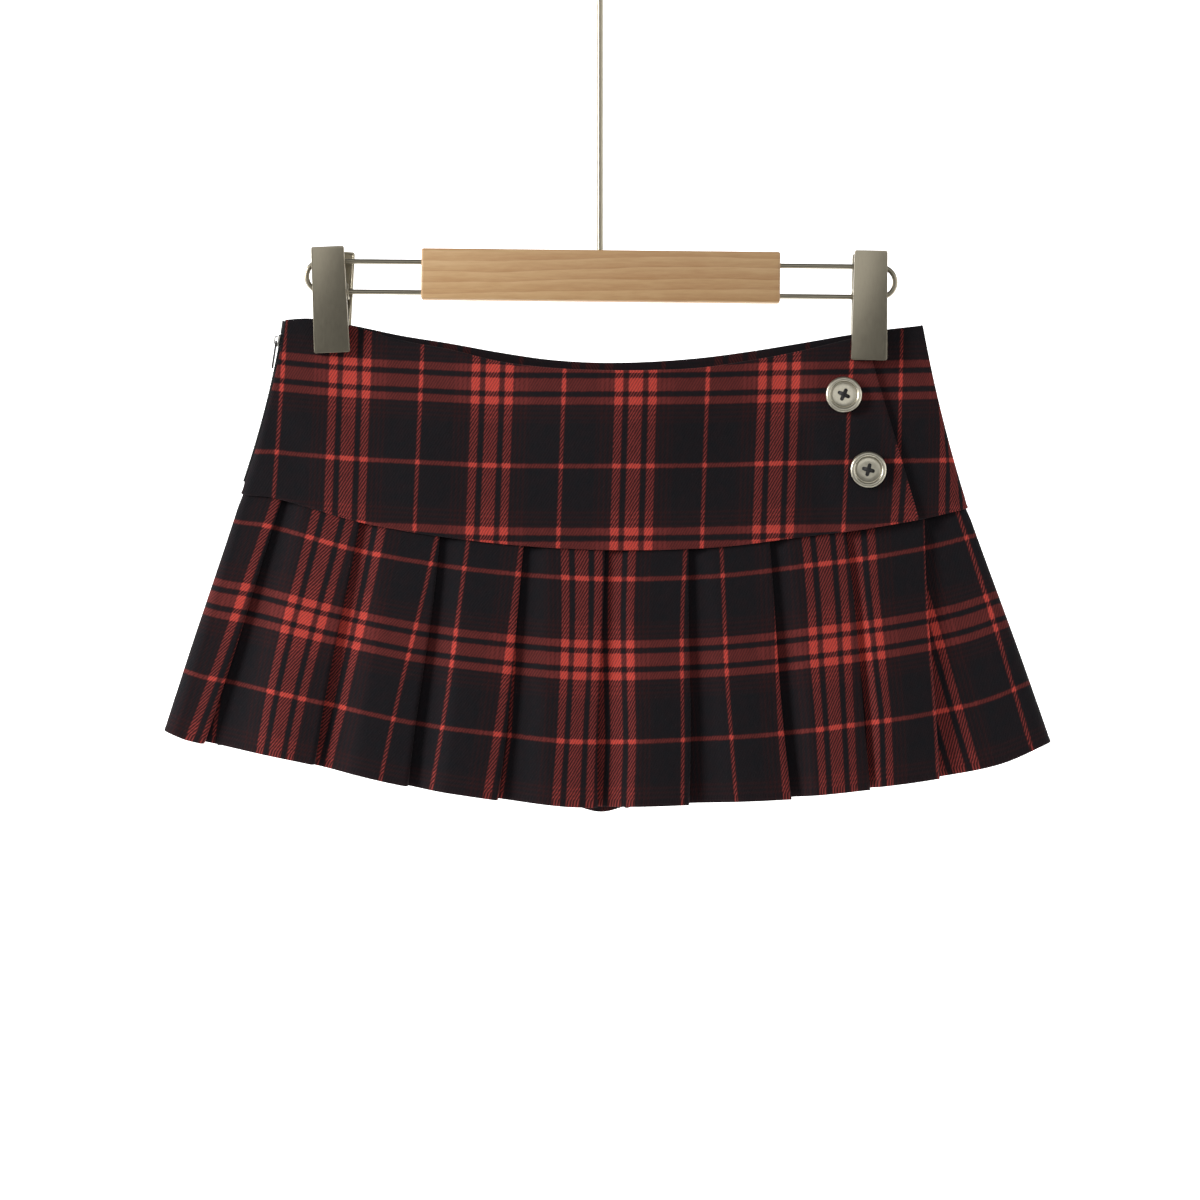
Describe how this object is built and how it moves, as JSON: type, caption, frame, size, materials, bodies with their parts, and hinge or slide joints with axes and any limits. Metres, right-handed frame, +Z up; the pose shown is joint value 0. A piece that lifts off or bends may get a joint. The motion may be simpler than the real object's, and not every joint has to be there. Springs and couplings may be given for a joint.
{
  "type": "pleated mini skirt on a clip hanger",
  "caption": "Low-rise plaid mini skirt with a buttoned mock-wrap hip yoke and a knife-pleated flounce, held flat by two sprung clips on a wooden-bar hanger with a wire hook.",
  "frame": {"origin": "inside top of the hanger's hook, on the middle of its wire, where a rail carries it", "axes": "+Z up, the skirt's front faces -Y, +X is to the right seen from the front"},
  "size_m": [0.4861, 0.046, 0.5099],
  "materials": {
    "plaid_flannel": "brushed twill flannel, black ground with red plaid",
    "button_nickel": "satin nickel",
    "zip_metal": "bright",
    "zip_enamel": "black enamel",
    "beech": "clear satin lacquer",
    "hanger_steel": "satin nickel plate"
  },
  "bodies": {
    "root": {"front_yoke": "plaid_flannel", "side_front_yoke": "plaid_flannel", "back_yoke": "plaid_flannel", "front_flounce": "plaid_flannel", "back_flounce": "plaid_flannel", "button_upper": "button_nickel", "button_lower": "button_nickel", "zip_slider": "zip_metal", "hanger_bar": "beech", "hanger_hook": "hanger_steel", "wire_left": "hanger_steel", "wire_right": "hanger_steel", "clip_left_front": "hanger_steel", "clip_left_back": "hanger_steel", "clip_right_front": "hanger_steel", "clip_right_back": "hanger_steel", "clip_left_spring": "hanger_steel", "clip_right_spring": "hanger_steel"},
    "pull_tab": {"zip_pull": "zip_enamel"}
  },
  "joints": [
    {"name": "pull_tab_hinge", "type": "hinge", "parent": "root", "child": "pull_tab", "pos_m": [-0.17802, 0, -0.24634], "axis": [0, 1, 0], "range_deg": [0, 150]}
  ]
}
